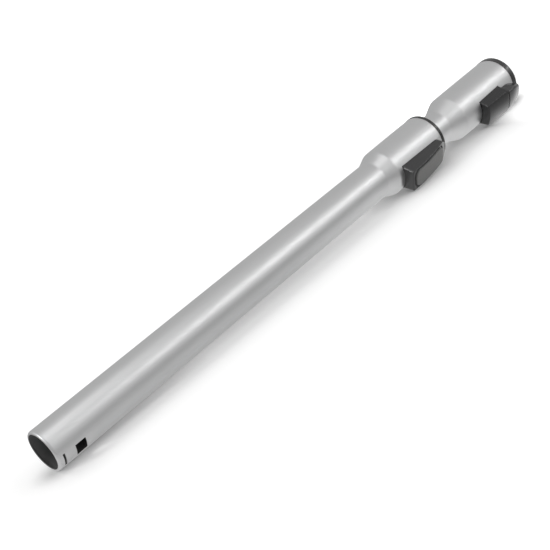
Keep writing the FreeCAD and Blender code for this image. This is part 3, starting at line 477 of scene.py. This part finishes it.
def mirror_glow(tree, distance, reach, ahead):
    """The floor's glow for mirrors, a painted reflection which draws the wand's lower reflections and, from
    the strip, the release button's lighter face.
    """
    level = between(tree, reach, MIRROR_GLOW, FAR_MIRROR_GLOW, MIRROR_RISE)
    beside = combined(tree, "MULTIPLY", level, between(tree, distance, 1, 0, MIRROR_FALL))
    strip = combined(
        tree,
        "MULTIPLY",
        between(tree, ahead, 0, STRIP_GLOW, STRIP_FRONT),
        between(tree, ahead, 1, 0, STRIP_BACK),
    )
    strip = combined(tree, "MULTIPLY", strip, between(tree, reach, 0, 1, STRIP_START))
    return combined(tree, "ADD", beside, strip)


def white_floor():
    """White, with a glow that only the camera and mirrors see; where it changes it paints shadow and
    reflections.
    """
    material, tree, shader = new_material("white_floor")
    rays = add(tree, "LightPath")
    tooth = noise(tree, place(tree), scale=400, detail=2)
    greyed = add(tree, "VectorMath", operation="SCALE")
    link(tree, shade(tree, tooth, (0.8, 0.8, 0.798), (0.82, 0.82, 0.818)), greyed.inputs[0])
    # painted reflection: mirrors see the floor greyer than the camera does
    link(tree, between(tree, rays.outputs["Is Glossy Ray"], 1, MIRROR_GREY, SWITCH), greyed.inputs["Scale"])
    link(tree, greyed.outputs["Vector"], shader.inputs["Base Color"])
    shader.inputs["Roughness"].default_value = 0.9
    shader.inputs["Specular IOR Level"].default_value = 0
    distance = from_wand(tree)
    reach, ahead = place_on_axes(tree)
    seen = combined(tree, "MULTIPLY", rays.outputs["Is Camera Ray"], camera_glow(tree, distance, reach))
    mirrored = combined(
        tree, "MULTIPLY", rays.outputs["Is Glossy Ray"], mirror_glow(tree, distance, reach, ahead)
    )
    shader.inputs["Emission Color"].default_value = (1, 1, 1, 1)
    link(tree, combined(tree, "ADD", seen, mirrored), shader.inputs["Emission Strength"])
    return material


def add_floor():
    """A floor that touches the mouth and the first collar's ring."""
    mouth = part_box("outer_tube")[0].x
    ring_low, ring_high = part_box("lock_housing")
    slope = (-ring_low.z - MOUTH_RADIUS) / (ring_high.x - mouth)
    drop = MOUTH_RADIUS + FLOOR_CLEARANCE
    half = FLOOR_SIZE / 2
    corners = [(-half, -half), (half, -half), (half, half), (-half, half)]
    mesh = bpy.data.meshes.new("floor")
    mesh.from_pydata([(x, y, -drop - slope * (x - mouth)) for x, y in corners], [], [(0, 1, 2, 3)])
    mesh.materials.append(white_floor())
    floor = bpy.data.objects.new("floor", mesh)
    bpy.context.scene.collection.objects.link(floor)


def add_world():
    """Even white light. The camera sees plain white, and mirrors see a little more than its light."""
    world = bpy.data.worlds.new("studio")
    bpy.context.scene.world = world
    world.use_nodes = True
    tree = world.node_tree
    background = tree.nodes["Background"]
    background.inputs["Color"].default_value = (1, 1, 1, 1)
    rays = add(tree, "LightPath")
    mirrored = between(tree, rays.outputs["Is Glossy Ray"], WORLD_LIGHT, WORLD_MIRRORED, SWITCH)
    level = add(tree, "Mix")
    level.inputs["B"].default_value = 1
    link(tree, rays.outputs["Is Camera Ray"], level.inputs["Factor"])
    link(tree, mirrored, level.inputs["A"])
    link(tree, level.outputs["Result"], background.inputs["Strength"])


def add_lamp(name, kind, power):
    """A lamp of a kind in the scene; returns it with its data."""
    data = bpy.data.lights.new(name, kind)
    data.energy = power
    lamp = bpy.data.objects.new(name, data)
    bpy.context.scene.collection.objects.link(lamp)
    return lamp, data


def add_key():
    """A broad light from behind, which casts the wand's shadow on the camera's side."""
    key, data = add_lamp("key", "SUN", KEY_POWER)
    data.angle = KEY_SPREAD
    away = Vector((0, math.cos(KEY_HEIGHT), math.sin(KEY_HEIGHT)))
    key.rotation_euler = away.to_track_quat("Z", "Y").to_euler()
    key.visible_glossy = False


def add_softbox(name, angle, distance, middle, length, width, power):
    """A long soft light beside the wand, at an angle round its axis from +Y, aimed back at the axis."""
    softbox, data = add_lamp(name, "AREA", power)
    data.shape = "RECTANGLE"
    data.size = length
    data.size_y = width
    away = Vector((0, math.cos(angle), math.sin(angle)))
    along = Vector((1, 0, 0))
    softbox.matrix_world = turned(along, away.cross(along), away, Vector((middle, 0, 0)) + away * distance)


def add_end_light(away, size, power):
    """A small soft light off the mouth's end, which draws the rim and looks into the tube."""
    light, data = add_lamp("end_light", "AREA", power)
    data.shape = "DISK"
    data.size = size
    light.location = away
    light.rotation_euler = away.to_track_quat("Z", "Y").to_euler()


dress_nodes()
for moving in frame["joints"]:
    if "deforming_nodes" in moving:
        add_spring(moving)
add_camera()
add_floor()
add_world()
add_key()
add_softbox(
    "softbox", angle=math.radians(147), distance=1.3, middle=1.85, length=2.6, width=1.3, power=3.2
)
add_softbox(
    "strip", angle=math.radians(146), distance=1.29, middle=1.85, length=2.6, width=0.07, power=4.3
)
add_softbox(
    "overhead", angle=math.radians(106), distance=1.28, middle=0.2, length=0.44, width=0.8, power=1.9
)
add_end_light(away=Vector((-0.92, 0.31, 0.7)), size=0.35, power=3.6)
bpy.context.scene.view_settings.view_transform = "Standard"
